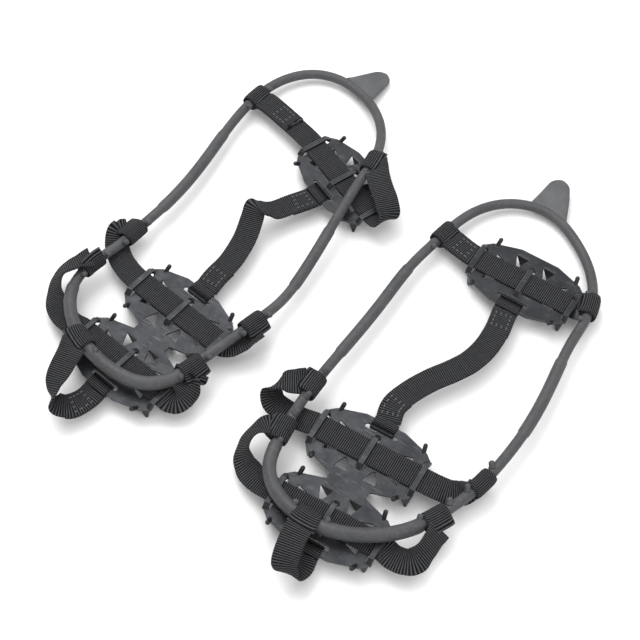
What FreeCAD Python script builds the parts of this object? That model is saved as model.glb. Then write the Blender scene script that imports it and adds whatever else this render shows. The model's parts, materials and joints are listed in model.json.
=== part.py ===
import FreeCAD, Part
import os
from math import cos, sin, atan2, degrees, radians

from FreeCAD import Rotation, Vector

# Pair of strap-on shoe ice cleats, lying flat with the shoe side up.
# Millimetres, +Z up. Each cleat has its own frame: origin on the ground under
# the middle of its forefoot plate, +X across the shoe, +Y towards the heel.
# The pair's origin is the middle of the footprint, on the ground.

os.makedirs("parts", exist_ok=True)

# ---- driving dimensions -------------------------------------------------

WEB_WIDTH = 15.0            # webbing strap
WEB_THICK = 1.5
SHEET = 1.4                 # steel plate thickness
TOOTH_DROP = 9.6            # plate underside above the ground
GAP = 0.1                   # clearance between parts that lie on each other

RING_RADIUS = 3.1           # rubber ring, thin stretches
SIDE_RADIUS = 3.6           # thicker stretches along both sides
TOE_RADIUS = 3.9            # thick toe arch
SLEEVE_CLEAR = 0.25         # webbing loop clear of the ring

# ---- sizes that follow --------------------------------------------------

PLATE_TOP = TOOTH_DROP + SHEET
WEB_BOTTOM = PLATE_TOP + GAP
WEB_MID = WEB_BOTTOM + WEB_THICK / 2
BAR_BOTTOM = WEB_BOTTOM + WEB_THICK + 2 * GAP
BAR_TOP = BAR_BOTTOM + SHEET

HALF_LENGTH = 34.2          # plate, half its length across the shoe
HALF_DEPTH = 21.2           # plate, half its depth along the shoe
EDGE_FLAT = 12.5            # half the straight part of each long edge
CORNER = (29.0, 16.0)       # where a long edge turns towards the end
END_DEPTH = 11.5            # half the depth of each end
BAR_WIDTH = 3.2
BAR_SPAN = 9.0              # half the raised length of a bridge bar
BAR_FOOT = 12.3
BAR_AT = (-HALF_LENGTH + BAR_WIDTH / 2, 0.0, HALF_LENGTH - BAR_WIDTH / 2)
SLOT_AT = 15.0              # lengthwise-strap slot, from the webbing line
SLOT_WIDTH = 3.0
SLOT_LENGTH = WEB_WIDTH + 5.4
INNER_TOOTH = (9.1, 17.0)   # hinge of the two inner teeth
INNER_BASE = 9.0
OUTER_TOOTH = (24.5, 6.7)   # hinge of the teeth beside the webbing
OUTER_BASE = 7.6
TOOTH_HOLE = 8.4            # punched opening, hinge to apex
TIP_FLAT = 1.2
LUG_RADIUS = 1.35
LUG_LENGTH = 5.4
STRAP_PITCH = 23.3          # forefoot centre to each cross strap
WAIST_LAP = 1.0             # waist run into each forefoot unit
SLOT_HOLD = 0.9             # slot loop, inside the slot's outer edge
EDGE_CLEAR = 1.0            # slot loop clear of the plate's edge
LOOP_FILLET = 1.2           # slot loop, rounded outer corners

PLATE_RUN = (HALF_LENGTH - 1.5, HALF_LENGTH + 1.5)  # webbing lies straight between these

KNOB_RADIUS = 1.9
KNOB_HEIGHT = 3.4           # above the ring's surface
KNOB_LEAN = 0.9             # rise for each unit of lean across the ring
KNOB_CLEAR = 0.2            # notch in the webbing beside a knob
SLEEVE_HALF = WEB_WIDTH / 2
BORE_OVERRUN = 9.0          # bore cut past each end of a webbing loop
KNOB_OFFSET = SLEEVE_HALF + KNOB_RADIUS + 1.0

TAB_BASE = 26.0             # heel pull tab
TAB_LENGTH = 24.0
TAB_TIP = 6.2
TAB_THICK = 2.2
TAB_CLEAR = 0.65            # around the ring, so that it can flex
FOLD_GAP = 0.15             # each side of the fold plane

THREAD = (1.7, 0.6, 0.35)   # one visible stitch: length, width, height
STITCH_ROWS = (-4.6, -1.6, 1.6, 4.6)
STITCH_PITCH = 3.0

FAR = 500.0                 # larger than the whole pair

# ---- how each cleat lies ------------------------------------------------
# Stations are (x, y, z) in the cleat's own frame. Strap stations carry the
# heading of the webbing's width as a fourth number, in degrees from +X.

RIGHT = {
    "name": "right",
    "place": (77.8, -105.6, 0.0),
    "forefoot_turn": 2.4,
    "heel_at": (18.9, 171.6),
    "heel_turn": 0.0,
    "fold": 105.0,
    "knob_aim": (0.0, 105.0),
    "tab_heading": 99.0,
    "tab_tilt": 2.0,
    "tab_at": (6.0, 229.5),
    "ring": [
        (6.0, 229.5, 6.0), (31.0, 219.0, 6.0), (51.0, 199.5, 7.5),
        (61.0, 177.0, 9.5), (62.5, 150.0, 11.0), (65.8, 115.0, 12.0),
        (67.3, 88.0, 12.0), (65.8, 62.0, 12.2), (61.5, 37.0, 12.6),
        (51.5, 9.0, 14.6), (40.5, -10.0, 18.0), (27.0, -22.0, 19.6),
        (10.0, -30.2, 20.2), (-8.0, -32.6, 20.2), (-26.0, -29.0, 19.6),
        (-40.5, -17.5, 18.6), (-46.6, 4.0, 17.4), (-48.6, 24.0, 16.6),
        (-49.2, 46.0, 14.6), (-48.0, 76.0, 12.4), (-46.2, 112.0, 12.0),
        (-45.4, 145.0, 11.0), (-41.2, 174.0, 9.5), (-34.0, 203.0, 7.5),
        (-18.0, 223.0, 6.2),
    ],
    "toe_arch": ((47.0, 0.0), (-46.0, -2.0)),
    "sides": (((64.0, 134.0), (67.3, 80.0)), ((-48.4, 68.0), (-45.6, 142.0))),
    "heel_strap": {
        "left": (-40.6, 177.0), "right": (61.0, 178.0),
        "before": [(-29.0, 174.2, 11.3, 92.0)],
        "after": [],
    },
    "rear_strap": {
        "left": (-49.0, 41.0), "right": (62.0, 39.5),
        "before": [
            (-56.5, 36.0, 20.2, 84.0), (-63.5, 31.0, 20.4, 72.0),
            (-67.6, 26.0, 16.0, 74.0), (-64.0, 21.6, 11.4, 84.0),
            (-54.0, 20.2, 10.7, 92.0), (-44.0, 20.8, 10.8, 92.0),
        ],
        "after": [(43.0, 25.6, 11.2, 92.0), (50.5, 27.6, 9.8, 100.0), (56.0, 32.0, 8.6, 104.0)],
    },
    "front_strap": {
        "left": (-46.8, 6.0), "right": (50.6, 7.2),
        "before": [
            (-55.4, 4.0, 20.0, -58.0), (-60.4, -3.4, 19.4, -30.0),
            (-61.4, -12.0, 15.4, 2.0), (-56.4, -19.6, 11.8, 36.0),
            (-46.4, -23.8, 11.0, 72.0),
        ],
        "after": [
            (42.5, -22.4, 11.1, 96.0), (50.0, -19.0, 11.0, 118.0), (56.0, -12.0, 12.0, 144.0),
            (59.0, -3.4, 13.4, 154.0), (59.4, 4.6, 14.2, 152.0),
        ],
        "plain": ("right",),
    },
    "toe_strap": {
        "ring": (-6.0, -32.5),
        "run": [
            (3.6, -55.0, 10.8, 6.0), (1.4, -61.5, 14.0, 10.0), (-1.6, -61.0, 20.0, 12.0),
            (-4.0, -53.0, 24.6, 10.0), (-5.6, -42.0, 25.4, 4.0),
        ],
    },
    "link": [
        (-4.0, 56.0, 11.9, 2.0), (-1.0, 68.0, 12.0, -28.0), (5.5, 82.0, 12.0, -30.0),
        (13.0, 94.0, 12.0, -34.0), (18.6, 105.0, 12.0, -24.0), (21.6, 118.0, 12.0, -6.0),
        (21.6, 132.0, 12.4, 0.0), (19.6, 144.0, 11.6, 0.0),
    ],
    "stitched": (("link", 0.045, 1.0), ("link", 0.955, -1.0), ("heel_strap", 0.09, 1.0)),
}

LEFT = {
    "name": "left",
    "place": (-70.9, -87.1, -5.1),
    "forefoot_turn": -3.5,
    "heel_at": (18.9, 162.6),
    "heel_turn": -18.5,
    "fold": 78.0,
    "knob_aim": (FAR, 78.0),
    "tab_heading": 78.0,
    "tab_tilt": -9.0,
    "tab_at": (-20.4, 230.4),
    "ring": [
        (-20.4, 230.4, 7.4), (0.0, 222.0, 10.0), (16.4, 207.0, 13.5),
        (26.4, 188.0, 17.0), (31.0, 166.0, 18.8), (35.4, 141.0, 18.6),
        (39.4, 116.0, 14.8), (43.4, 90.0, 12.2), (45.6, 66.0, 12.6),
        (43.8, 44.0, 15.8), (40.6, 24.0, 17.6), (36.4, 4.0, 17.8),
        (32.4, -14.0, 18.8), (22.0, -28.0, 19.8), (6.0, -33.4, 20.4),
        (-12.0, -33.0, 20.6), (-29.0, -28.6, 20.6), (-45.0, -19.5, 19.2),
        (-57.0, -6.0, 17.4), (-61.0, 14.0, 16.2), (-58.6, 32.0, 14.6),
        (-58.0, 52.0, 12.6), (-57.0, 78.0, 12.0), (-59.4, 112.0, 11.6),
        (-66.0, 148.0, 10.4), (-69.4, 180.0, 9.2), (-65.6, 207.0, 7.4),
        (-52.0, 225.6, 6.4), (-37.0, 231.4, 6.4),
    ],
    "toe_arch": ((33.5, -10.0), (-57.5, -4.0)),
    "sides": (((38.0, 124.0), (44.6, 80.0)), ((-57.4, 74.0), (-65.6, 146.0))),
    "heel_strap": {
        "left": (-69.4, 184.0), "right": (28.6, 180.0),
        "before": [(-58.0, 182.6, 11.2, 86.0), (-40.0, 179.4, 11.6, 80.0), (-24.0, 176.2, 11.8, 74.0)],
        "after": [
            (58.6, 150.4, 13.6, 70.0), (61.0, 153.6, 18.2, 64.0), (55.4, 158.8, 22.6, 58.0),
            (46.0, 165.6, 24.0, 62.0), (38.0, 173.0, 23.4, 76.0),
        ],
    },
    "rear_strap": {
        "left": (-57.8, 49.0), "right": (43.6, 41.0),
        "before": [
            (-65.6, 45.0, 13.0, 70.0), (-62.0, 38.0, 10.4, 54.0),
            (-53.4, 31.6, 9.9, 58.0), (-43.0, 27.4, 11.0, 72.0),
        ],
        "after": [
            (41.6, 23.4, 11.6, 104.0), (46.0, 29.0, 11.6, 130.0),
            (48.6, 35.4, 12.6, 148.0), (50.6, 41.4, 14.4, 154.0),
        ],
        "plain": ("right",),
    },
    "front_strap": {
        "left": (-60.8, 15.0), "right": (34.4, -4.0),
        "plain": ("left",),
        "before": [
            (-61.6, 16.4, 21.2, -8.0), (-66.4, 7.6, 21.0, -16.0), (-70.2, -1.6, 18.6, -6.0),
            (-67.6, -10.8, 14.0, 14.0), (-58.6, -18.6, 11.3, 46.0), (-46.0, -21.6, 11.0, 74.0),
        ],
        "after": [
            (39.6, -26.0, 11.2, 94.0), (45.0, -21.6, 12.0, 122.0),
            (46.6, -14.4, 14.6, 134.0), (44.0, -8.6, 17.0, 110.0),
        ],
    },
    "toe_strap": {
        "ring": (-27.0, -29.4),
        "run": [
            (-2.0, -54.0, 10.8, -6.0), (-5.0, -63.4, 12.0, -20.0), (-11.4, -67.4, 17.0, -30.0),
            (-16.6, -62.0, 22.4, -32.0), (-20.4, -51.0, 25.4, -26.0), (-24.4, -39.6, 25.6, -22.0),
        ],
    },
    "link": [
        (2.6, 56.0, 11.6, 0.0), (4.4, 68.0, 12.0, -2.0), (4.2, 78.0, 12.0, 4.0),
        (1.6, 90.0, 13.0, 10.0), (-2.6, 101.0, 16.6, 12.0), (-4.4, 107.0, 20.6, 4.0),
        (-1.0, 111.0, 18.0, -16.0), (2.4, 116.0, 13.4, -24.0), (6.4, 126.6, 12.0, -21.0),
        (9.4, 134.6, 11.6, -18.5),
    ],
    "stitched": (
        ("link", 0.045, 1.0), ("link", 0.965, -1.0),
        ("heel_strap", 0.10, 1.0), ("toe_strap", 0.10, 1.0),
    ),
}


# ---- small geometry helpers ---------------------------------------------

def spline(points):
    """Open curve through the points."""
    curve = Part.BSplineCurve()
    curve.interpolate(points)
    return curve


def heading(angle):
    """Level unit vector at an angle from +X, in degrees."""
    return Vector(cos(radians(angle)), sin(radians(angle)), 0)


def turned(x, y, angle):
    """A level point turned about the origin."""
    return (x * cos(radians(angle)) - y * sin(radians(angle)),
            x * sin(radians(angle)) + y * cos(radians(angle)))


def tube(points, radius):
    """Round bar along a curve through the points."""
    curve = spline(points)
    start = curve.value(curve.FirstParameter)
    along = curve.tangent(curve.FirstParameter)[0]
    profile = Part.Wire(Part.Circle(start, along, radius).toShape())
    return Part.Wire(curve.toShape()).makePipeShell([profile], True, True)


def prism(points, height):
    """Upright prism over a level outline."""
    outline = Part.makePolygon(points + [points[0]])
    return Part.Face(outline).extrude(Vector(0, 0, height))


class Path:
    """Smooth webbing path through (x, y, z, width heading) stations."""

    def __init__(self, stations, steps=4):
        rows = [Vector(*s[:3]) for s in stations]
        before = rows[0] * 2 - rows[1]
        after = rows[-1] * 2 - rows[-2]
        padded = [before] + rows + [after]
        self.points = []
        self.angles = []
        for i in range(len(rows) - 1):
            for k in range(steps):
                f = k / steps
                self.points.append(between(padded[i:i + 4], f))
                self.angles.append(stations[i][3] + f * (stations[i + 1][3] - stations[i][3]))
        self.points.append(rows[-1])
        self.angles.append(stations[-1][3])
        self.wides = []
        for i, angle in enumerate(self.angles):
            wide = web_axes(self.along(i), angle)[0]
            if self.wides and wide.dot(self.wides[-1]) < 0:
                wide = -wide
            self.wides.append(wide)

    def along(self, i):
        first = self.points[max(i - 1, 0)]
        last = self.points[min(i + 1, len(self.points) - 1)]
        return (last - first).normalize()

    def length(self):
        return sum((b - a).Length for a, b in zip(self.points, self.points[1:]))

    def at(self, distance):
        """Point, direction and width heading at a distance along the path."""
        for i in range(len(self.points) - 1):
            step = self.points[i + 1] - self.points[i]
            if distance <= step.Length or i == len(self.points) - 2:
                f = distance / step.Length
                angle = self.angles[i] + f * (self.angles[i + 1] - self.angles[i])
                return self.points[i] + step * f, Vector(step).normalize(), angle
            distance -= step.Length


def between(four, f):
    """Centripetal Catmull-Rom point between the middle two of four points."""
    times = [0.0]
    for a, b in zip(four, four[1:]):
        times.append(times[-1] + max((b - a).Length, 1e-6) ** 0.5)
    t = times[1] + f * (times[2] - times[1])
    level = list(four)
    for width in (1, 2, 3):
        blended = []
        for j in range(4 - width):
            low = times[j] if width < 3 else times[1]
            high = times[j + width] if width < 3 else times[2]
            blended.append((level[j] * (high - t) + level[j + 1] * (t - low)) / (high - low))
        level = blended
    return level[0]


def ribbon(stations):
    """Flat webbing that follows the stations."""
    path = Path(stations)
    wires = [section(p, path.along(i), path.wides[i]) for i, p in enumerate(path.points)]
    return Part.makeLoft(wires, True, True)


def web_axes(along, angle):
    """Width and outward directions of webbing that runs along a tangent."""
    wide = heading(angle)
    wide = wide - along * wide.dot(along)
    wide.normalize()
    up = along.cross(wide)
    if up.z < 0:
        up = -up
    return wide, up


def section(centre, along, wide):
    """Rectangle across the webbing."""
    side = along.cross(wide)
    a = wide * (WEB_WIDTH / 2)
    b = side * (WEB_THICK / 2)
    corners = [centre + a + b, centre - a + b, centre - a - b, centre + a - b]
    return Part.makePolygon(corners + [corners[0]])


# ---- the rubber ring ----------------------------------------------------

class Ring:
    """Closed centre line of a rubber ring, measured along its length."""

    def __init__(self, stations):
        points = [Vector(*s) for s in stations]
        self.curve = Part.BSplineCurve()
        self.curve.interpolate(Points=points, PeriodicFlag=True)
        self.length = self.curve.length()
        self.table = []
        count = 480
        for i in range(count):
            distance = self.length * i / count
            self.table.append((distance, self.point(distance)))

    def parameter(self, distance):
        return self.curve.parameterAtDistance(distance % self.length, self.curve.FirstParameter)

    def point(self, distance):
        return self.curve.value(self.parameter(distance))

    def along(self, distance):
        return self.curve.tangent(self.parameter(distance))[0]

    def nearest(self, place):
        """Distance along the ring of the point nearest to a level place."""
        flat = [(Vector(p.x - place[0], p.y - place[1], 0).Length, d) for d, p in self.table]
        return min(flat)[1]

    def stretch(self, start, end, spacing=9.0):
        """Points along the ring from one distance to the next, going forwards."""
        while end <= start:
            end += self.length
        count = max(3, int((end - start) / spacing))
        return [self.point(start + (end - start) * i / count) for i in range(count + 1)]

    def bar(self, start, end, radius):
        return tube(self.stretch(start, end), radius)


def knobs(lay, ring, place, grow=0.0):
    """Two small pegs that keep a strap loop in place, one on each side of it."""
    pegs = []
    for step in (-KNOB_OFFSET, KNOB_OFFSET):
        centre = ring.point(ring.nearest(place) + step)
        toward = Vector(lay["knob_aim"][0] - centre.x, lay["knob_aim"][1] - centre.y, 0)
        lean = (toward.normalize() + Vector(0, 0, KNOB_LEAN)).normalize()
        rise = RING_RADIUS + KNOB_HEIGHT - KNOB_RADIUS
        peg = Part.makeCylinder(KNOB_RADIUS + grow, rise, centre, lean)
        pegs.append(peg.fuse(Part.makeSphere(KNOB_RADIUS + grow, centre + lean * rise)))
    return pegs


def half_space(fold, toe_side):
    """Everything on one side of the fold plane."""
    if toe_side:
        corner = Vector(-FAR, fold - FOLD_GAP - FAR, -FAR)
    else:
        corner = Vector(-FAR, fold + FOLD_GAP, -FAR)
    return Part.makeBox(2 * FAR, FAR, 2 * FAR, corner)


def loop_places(lay):
    """Where each webbing loop sits on the ring."""
    places = [lay[name][side] for name in ("heel_strap", "rear_strap", "front_strap")
              for side in ("left", "right")]
    return places + [lay["toe_strap"]["ring"]]


def ring_halves(lay, ring):
    """Toe half and heel half of the ring, each with its knobs."""
    fold_right = ring.nearest((FAR, lay["fold"]))
    fold_left = ring.nearest((-FAR, lay["fold"]))
    halves = []
    for toe_side in (True, False):
        if toe_side:
            start, end = fold_right - BORE_OVERRUN, fold_left + BORE_OVERRUN
        else:
            start, end = fold_left - BORE_OVERRUN, fold_right + BORE_OVERRUN
        body = [ring.bar(start, end, RING_RADIUS)]
        if toe_side:
            toe = [ring.nearest(p) for p in lay["toe_arch"]]
            body.append(ring.bar(toe[0], toe[1], TOE_RADIUS))
        for side in lay["sides"]:
            ends = [ring.nearest(p) for p in side]
            body.append(ring.bar(ends[0], ends[1], SIDE_RADIUS))
        for place in loop_places(lay):
            if (place[1] < lay["fold"]) == toe_side:
                body += knobs(lay, ring, place)
        half = body[0].multiFuse(body[1:])
        halves.append(half.common(half_space(lay["fold"], toe_side)).removeSplitter())
    return halves


def pull_tab(lay, ring):
    """Tapered tab on the heel arch, cut clear of the ring."""
    half = TAB_BASE / 2
    reach = TAB_LENGTH + RING_RADIUS
    shoulder = reach - TAB_TIP
    corners = [
        Vector(0, -half, 0), Vector(0, half, 0),
        Vector(shoulder, TAB_TIP, 0), Vector(shoulder, -TAB_TIP, 0),
    ]
    blank = prism(corners, TAB_THICK)
    blank = blank.fuse(Part.makeCylinder(TAB_TIP, TAB_THICK, Vector(shoulder, 0, 0)))
    blank.translate(Vector(0, 0, -TAB_THICK / 2))
    root = ring.point(ring.nearest(lay["tab_at"]))
    blank.Placement = FreeCAD.Placement(root, Rotation(lay["tab_heading"], -lay["tab_tilt"], 0))
    middle = ring.nearest(lay["tab_at"])
    clear = ring.bar(middle - TAB_BASE, middle + TAB_BASE, RING_RADIUS + TAB_CLEAR)
    pieces = blank.cut(clear).Solids
    tab = max(pieces, key=lambda s: (s.CenterOfMass - Vector(*lay["heel_at"], 0)).Length)
    return tab.removeSplitter()


# ---- the steel plates ---------------------------------------------------

def tooth(x, y, turn, base):
    """Downward tooth whose hinge line is centred on (x, y)."""
    top = PLATE_TOP - SHEET / 4
    outline = [Vector(-base / 2, 0, top), Vector(base / 2, 0, top),
               Vector(TIP_FLAT / 2, 0, 0), Vector(-TIP_FLAT / 2, 0, 0)]
    blank = Part.Face(Part.makePolygon(outline + [outline[0]])).extrude(Vector(0, SHEET, 0))
    blank.translate(Vector(0, -SHEET / 2, 0))
    blank.Placement = FreeCAD.Placement(Vector(x, y, 0), Rotation(turn, 0, 0))
    return blank


def tooth_hole(x, y, turn, base):
    """Punched triangle a tooth was bent out of; its apex is to the left of the turn."""
    half = base / 2
    outline = [Vector(-half, 0, 0), Vector(half, 0, 0),
               Vector(1.0, TOOTH_HOLE, 0), Vector(-1.0, TOOTH_HOLE, 0)]
    blank = prism(outline, 3 * SHEET)
    edges = [e for e in blank.Edges if abs(e.Vertexes[0].Z - e.Vertexes[-1].Z) > SHEET]
    blank = blank.makeFillet(0.9, edges)
    blank.Placement = FreeCAD.Placement(Vector(x, y, TOOTH_DROP - SHEET), Rotation(turn, 0, 0))
    return blank


def bridge_bar(x):
    """Raised bar across the webbing."""
    leg = SHEET * 1.2
    outline = [(-BAR_FOOT, TOOTH_DROP), (-BAR_FOOT, PLATE_TOP), (-BAR_SPAN, BAR_TOP),
               (BAR_SPAN, BAR_TOP), (BAR_FOOT, PLATE_TOP), (BAR_FOOT, TOOTH_DROP),
               (BAR_FOOT - leg, TOOTH_DROP), (BAR_SPAN - 0.8, BAR_BOTTOM),
               (0.8 - BAR_SPAN, BAR_BOTTOM), (leg - BAR_FOOT, TOOTH_DROP)]
    corners = [Vector(x - BAR_WIDTH / 2, y, z) for y, z in outline]
    return Part.Face(Part.makePolygon(corners + [corners[0]])).extrude(Vector(BAR_WIDTH, 0, 0))


def rounded_slot(x, y, length, width):
    """Through slot, long along X."""
    straight = length - width
    low = TOOTH_DROP - SHEET
    body = Part.makeBox(straight, width, 3 * SHEET, Vector(x - straight / 2, y - width / 2, low))
    for side in (-1, 1):
        body = body.fuse(Part.makeCylinder(width / 2, 3 * SHEET, Vector(x + side * straight / 2, y, low)))
    return body


def lug(side_x, side_y):
    """Round-ended peg on a long edge, leaning out and up."""
    base = Vector(side_x * (CORNER[0] - 2.0), side_y * (CORNER[1] - 1.0), PLATE_TOP - LUG_RADIUS)
    lean = Vector(-0.12 * side_x, 0.72 * side_y, 0.66).normalize()
    stem = Part.makeCylinder(LUG_RADIUS, LUG_LENGTH, base, lean)
    return stem.fuse(Part.makeSphere(LUG_RADIUS, base + lean * LUG_LENGTH))


def plate_blank():
    """One toothed unit: webbing line along X, lengthwise slot on the +Y side."""
    quarter = [(HALF_LENGTH, END_DEPTH), CORNER, (EDGE_FLAT, HALF_DEPTH)]
    outline = [Vector(x, y, TOOTH_DROP) for x, y in quarter]
    outline += [Vector(-x, y, TOOTH_DROP) for x, y in reversed(quarter)]
    outline += [Vector(-x, -y, TOOTH_DROP) for x, y in quarter]
    outline += [Vector(x, -y, TOOTH_DROP) for x, y in reversed(quarter)]
    plate = prism(outline, SHEET)

    cuts = [rounded_slot(0, SLOT_AT, SLOT_LENGTH, SLOT_WIDTH)]
    adds = []
    for x in BAR_AT:
        opening = BAR_WIDTH + 2.0
        depth = 2 * (BAR_FOOT - SHEET * 1.2)
        corner = Vector(x - opening / 2, -depth / 2, TOOTH_DROP - SHEET)
        cuts.append(Part.makeBox(opening, depth, 3 * SHEET, corner))
        adds.append(bridge_bar(x))
    corner_mid = ((HALF_LENGTH + CORNER[0]) / 2, (END_DEPTH + CORNER[1]) / 2)
    corner_turn = degrees(atan2(CORNER[1] - END_DEPTH, CORNER[0] - HALF_LENGTH))
    inset = SHEET / 2
    for sx in (-1, 1):
        cuts.append(tooth_hole(sx * INNER_TOOTH[0], -INNER_TOOTH[1], 0, INNER_BASE))
        adds.append(tooth(sx * INNER_TOOTH[0], -INNER_TOOTH[1] - inset, 0, INNER_BASE))
        for sy in (-1, 1):
            turn = 90 * sx
            cuts.append(tooth_hole(sx * OUTER_TOOTH[0], sy * OUTER_TOOTH[1], turn, OUTER_BASE))
            adds.append(tooth(sx * (OUTER_TOOTH[0] + inset), sy * OUTER_TOOTH[1], turn, OUTER_BASE))
            adds.append(tooth(sx * (corner_mid[0] - inset), sy * (corner_mid[1] - inset),
                              sx * sy * corner_turn, 6.4))
            adds.append(lug(sx, sy))
    plate = plate.cut(cuts[0].multiFuse(cuts[1:]))
    return plate.multiFuse(adds).removeSplitter()


def units(lay):
    """Centre, turn and slot side of each toothed unit; each carries one cross strap."""
    turn = lay["forefoot_turn"]
    return {
        "heel": (lay["heel_at"], lay["heel_turn"], -1),
        "rear": (turned(0, STRAP_PITCH, turn), turn, 1),
        "front": (turned(0, -STRAP_PITCH, turn), turn, -1),
    }


def unit_placement(unit):
    centre, turn, way = unit
    flip = 0 if way > 0 else 180
    return FreeCAD.Placement(Vector(*centre, 0), Rotation(turn + flip, 0, 0))


def heel_plate(lay):
    plate = plate_blank()
    plate.Placement = unit_placement(units(lay)["heel"])
    return plate


def forefoot_plate(lay):
    """Two toothed units joined at a narrow waist."""
    halves = []
    for name in ("rear", "front"):
        half = plate_blank()
        half.Placement = unit_placement(units(lay)[name])
        halves.append(half)
    neck = 2 * (STRAP_PITCH - HALF_DEPTH + WAIST_LAP)
    waist = Part.makeBox(2 * EDGE_FLAT, neck, SHEET, Vector(-EDGE_FLAT, -neck / 2, TOOTH_DROP))
    waist.Placement = FreeCAD.Placement(Vector(0, 0, 0), Rotation(lay["forefoot_turn"], 0, 0))
    return halves[0].multiFuse([halves[1], waist]).removeSplitter()


# ---- the webbing --------------------------------------------------------

def sleeve_bore(ring, at):
    """Inner radius of a webbing loop at a distance along the ring."""
    rubber = TOE_RADIUS if ring.point(at).y < 0 else SIDE_RADIUS
    return rubber + SLEEVE_CLEAR


def sleeve(ring, place):
    """Webbing loop round the ring, still solid, and the bore to cut from it."""
    at = ring.nearest(place)
    inner = sleeve_bore(ring, at)
    outer = ring.bar(at - SLEEVE_HALF, at + SLEEVE_HALF, inner + WEB_THICK)
    bore = ring.bar(at - SLEEVE_HALF - BORE_OVERRUN, at + SLEEVE_HALF + BORE_OVERRUN, inner)
    return outer, bore


def sleeve_end(ring, place, neighbour):
    """Last strap station, inside the wall of the loop it is sewn into."""
    at = ring.nearest(place)
    centre = ring.point(at)
    along = ring.along(at)
    toward = Vector(*neighbour[:3]) - centre
    toward = toward - along * toward.dot(along)
    toward.normalize()
    point = centre + toward * (sleeve_bore(ring, at) + WEB_THICK / 2)
    angle = degrees(atan2(along.y, along.x))
    while angle < neighbour[3] - 90:
        angle += 180
    while angle > neighbour[3] + 90:
        angle -= 180
    return (point.x, point.y, point.z, angle)


def under_bars(unit):
    """Straight run of webbing across a toothed unit, beneath its bars."""
    centre, turn, _ = unit
    run = []
    for x in (-PLATE_RUN[1], -PLATE_RUN[0], PLATE_RUN[0], PLATE_RUN[1]):
        dx, dy = turned(x, 0, turn)
        run.append((centre[0] + dx, centre[1] + dy, WEB_MID, 90.0 + turn))
    return run


def cross_stations(lay, ring, name):
    """All stations of a cross strap, from its left loop to its right loop."""
    strap = lay[name]
    run = strap["before"] + under_bars(units(lay)[name.replace("_strap", "")]) + strap["after"]
    plain = strap.get("plain", ())
    if "left" not in plain:
        run = [sleeve_end(ring, strap["left"], run[0])] + run
    if "right" not in plain:
        run = run + [sleeve_end(ring, strap["right"], run[-1])]
    return run


def slot_loop(unit):
    """Webbing loop through a unit's lengthwise slot and round its edge."""
    near = SLOT_AT + SLOT_WIDTH / 2 - SLOT_HOLD
    far = HALF_DEPTH + EDGE_CLEAR
    low = TOOTH_DROP - 2 * GAP
    high = PLATE_TOP + 2 * GAP
    outer = Part.makeBox(WEB_WIDTH, far - near + 2 * WEB_THICK, high - low + 2 * WEB_THICK,
                         Vector(-WEB_WIDTH / 2, near - WEB_THICK, low - WEB_THICK))
    inner = Part.makeBox(FAR, far - near, high - low, Vector(-FAR / 2, near, low))
    across = [e for e in outer.Edges if abs(e.Vertexes[0].X - e.Vertexes[-1].X) > WEB_THICK]
    band = outer.makeFillet(LOOP_FILLET, across).cut(inner)
    band.Placement = unit_placement(unit)
    return band


def slot_end(unit):
    """Station where a lengthwise strap leaves its slot loop."""
    centre, turn, way = unit
    dx, dy = turned(0, way * (HALF_DEPTH + EDGE_CLEAR + WEB_THICK / 2), turn)
    return (centre[0] + dx, centre[1] + dy, (TOOTH_DROP + PLATE_TOP) / 2, turn)


def link_stations(lay):
    parts = units(lay)
    return [slot_end(parts["rear"])] + lay["link"] + [slot_end(parts["heel"])]


def toe_stations(lay, ring):
    run = lay["toe_strap"]["run"]
    return [slot_end(units(lay)["front"])] + run + [sleeve_end(ring, lay["toe_strap"]["ring"], run[-1])]


def trimmed(band, tools):
    """Webbing cut clear of the rubber, without the offcuts."""
    for tool in tools:
        band = band.cut(tool)
    return max(band.Solids, key=lambda solid: solid.Volume)


def cross_strap(lay, ring, name):
    """Strap across the shoe, looped round the ring at both ends."""
    left, left_bore = sleeve(ring, lay[name]["left"])
    right, right_bore = sleeve(ring, lay[name]["right"])
    band = ribbon(cross_stations(lay, ring, name)).multiFuse([left, right])
    pegs = knobs(lay, ring, lay[name]["left"], KNOB_CLEAR)
    pegs += knobs(lay, ring, lay[name]["right"], KNOB_CLEAR)
    return trimmed(band, [left_bore, right_bore] + pegs)


def link_strap(lay):
    """Lengthwise strap, as its toe part and its heel part at the fold."""
    parts = units(lay)
    body = ribbon(link_stations(lay)).multiFuse([slot_loop(parts["rear"]), slot_loop(parts["heel"])])
    return [body.common(half_space(lay["fold"], toe_side)) for toe_side in (True, False)]


def toe_strap(lay, ring):
    """Strap from the front slot up to its loop round the toe arch."""
    loop, bore = sleeve(ring, lay["toe_strap"]["ring"])
    band = ribbon(toe_stations(lay, ring)).multiFuse([loop, slot_loop(units(lay)["front"])])
    return trimmed(band, [bore] + knobs(lay, ring, lay["toe_strap"]["ring"], KNOB_CLEAR))


def stitching(stations, start, way):
    """Rows of thread on the top face, from a fraction of the strap's length."""
    path = Path(stations)
    total = path.length()
    threads = []
    for column in range(4):
        point, along, angle = path.at(start * total + way * column * STITCH_PITCH)
        wide, up = web_axes(along, angle)
        for row, across in enumerate(STITCH_ROWS):
            if column in (1, 2) and row in (1, 2):
                continue
            place = point + wide * across + up * (WEB_THICK / 2 + 3 * GAP + THREAD[2] / 2)
            thread = Part.makeBox(*THREAD, Vector(-THREAD[0] / 2, -THREAD[1] / 2, -THREAD[2] / 2))
            thread.Placement = FreeCAD.Placement(place, Rotation(along, wide, up, "ZXY"))
            threads.append(thread)
    return threads


# ---- build and write ----------------------------------------------------

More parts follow.
